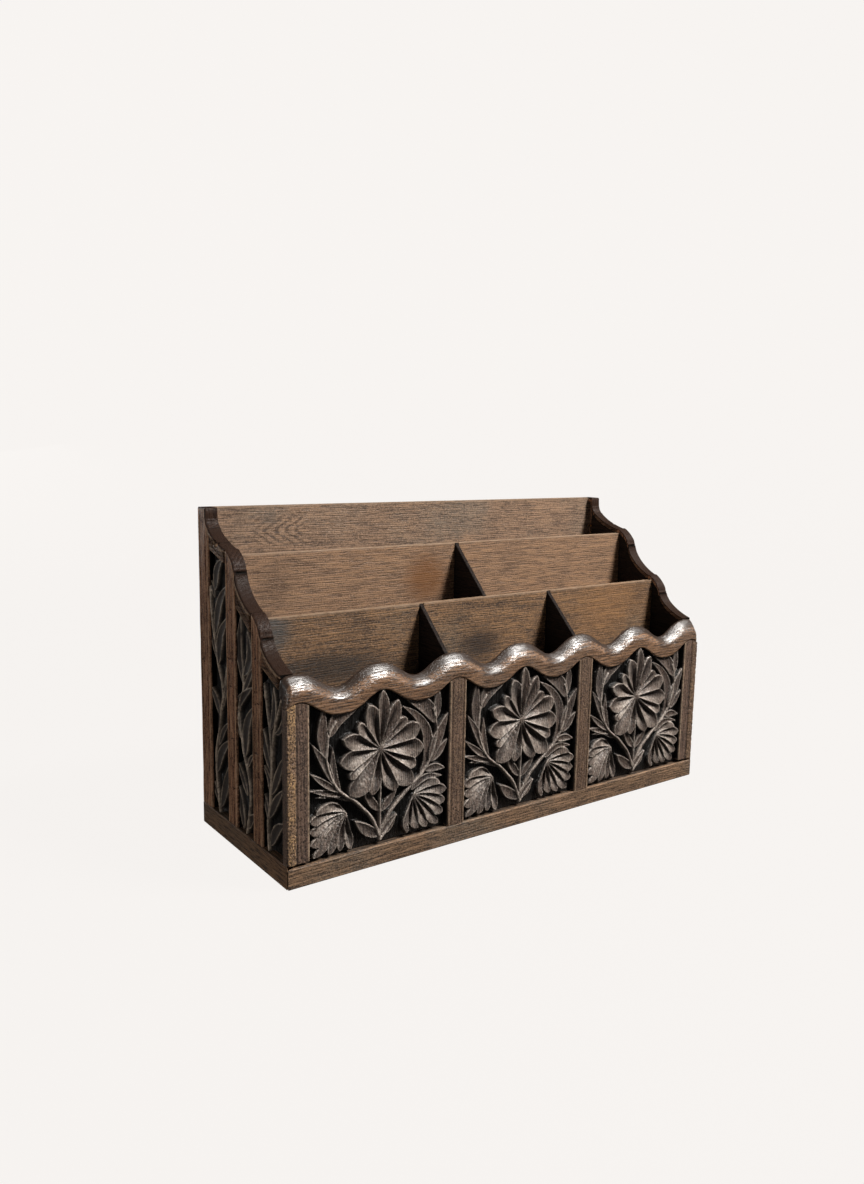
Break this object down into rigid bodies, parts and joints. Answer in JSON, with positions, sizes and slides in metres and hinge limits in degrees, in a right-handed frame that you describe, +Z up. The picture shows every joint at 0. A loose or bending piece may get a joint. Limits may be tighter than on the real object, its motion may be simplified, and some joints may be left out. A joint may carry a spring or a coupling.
{
  "type": "letter rack",
  "caption": "Stepped desk organizer in carved walnut: framed walls with carved panels, a wavy front rail, and upright compartments for letters and cards.",
  "frame": {"origin": "centre of the base, on the surface the rack stands on", "axes": "+X to the right along the front, +Y from the front towards the back, +Z up"},
  "size_m": [0.3, 0.104, 0.18],
  "materials": {
    "walnut_frame": "waxed, satin, worn pale along its edges",
    "walnut_carving": "dark stained and waxed, satin, worn pale on the arrises",
    "walnut_boards": "open grained, matte to satin",
    "walnut_liner": "dark stained, matte",
    "brass_pins": "dull"
  },
  "bodies": {
    "root": {"front_wave_rail": "walnut_frame", "front_bottom_rail": "walnut_frame", "front_left_post": "walnut_frame", "front_right_post": "walnut_frame", "front_left_mullion": "walnut_frame", "front_right_mullion": "walnut_frame", "front_carved_panel_left": "walnut_carving", "front_carved_panel_centre": "walnut_carving", "front_carved_panel_right": "walnut_carving", "front_liner": "walnut_liner", "left_bottom_rail": "walnut_frame", "left_back_stile": "walnut_frame", "left_rear_mullion": "walnut_frame", "left_front_mullion": "walnut_frame", "left_rear_spandrel": "walnut_frame", "left_middle_spandrel": "walnut_frame", "left_front_spandrel": "walnut_frame", "left_rear_carved_panel": "walnut_carving", "left_middle_carved_panel": "walnut_carving", "left_front_carved_panel": "walnut_carving", "left_liner": "walnut_liner", "right_bottom_rail": "walnut_frame", "right_back_stile": "walnut_frame", "right_rear_mullion": "walnut_frame", "right_front_mullion": "walnut_frame", "right_rear_spandrel": "walnut_frame", "right_middle_spandrel": "walnut_frame", "right_front_spandrel": "walnut_frame", "right_rear_carved_panel": "walnut_carving", "right_middle_carved_panel": "walnut_carving", "right_front_carved_panel": "walnut_carving", "right_liner": "walnut_liner", "back_board": "walnut_boards", "base_board": "walnut_boards", "rear_divider": "walnut_boards", "front_divider": "walnut_boards", "middle_row_partition": "walnut_boards", "front_row_left_partition": "walnut_boards", "front_row_right_partition": "walnut_boards", "back_board_pin_1": "brass_pins", "back_board_pin_2": "brass_pins", "back_board_pin_3": "brass_pins", "back_board_pin_4": "brass_pins", "back_board_pin_5": "brass_pins", "back_board_pin_6": "brass_pins", "base_board_pin_1": "brass_pins", "base_board_pin_2": "brass_pins", "base_board_pin_3": "brass_pins", "base_board_pin_4": "brass_pins"}
  },
  "joints": []
}
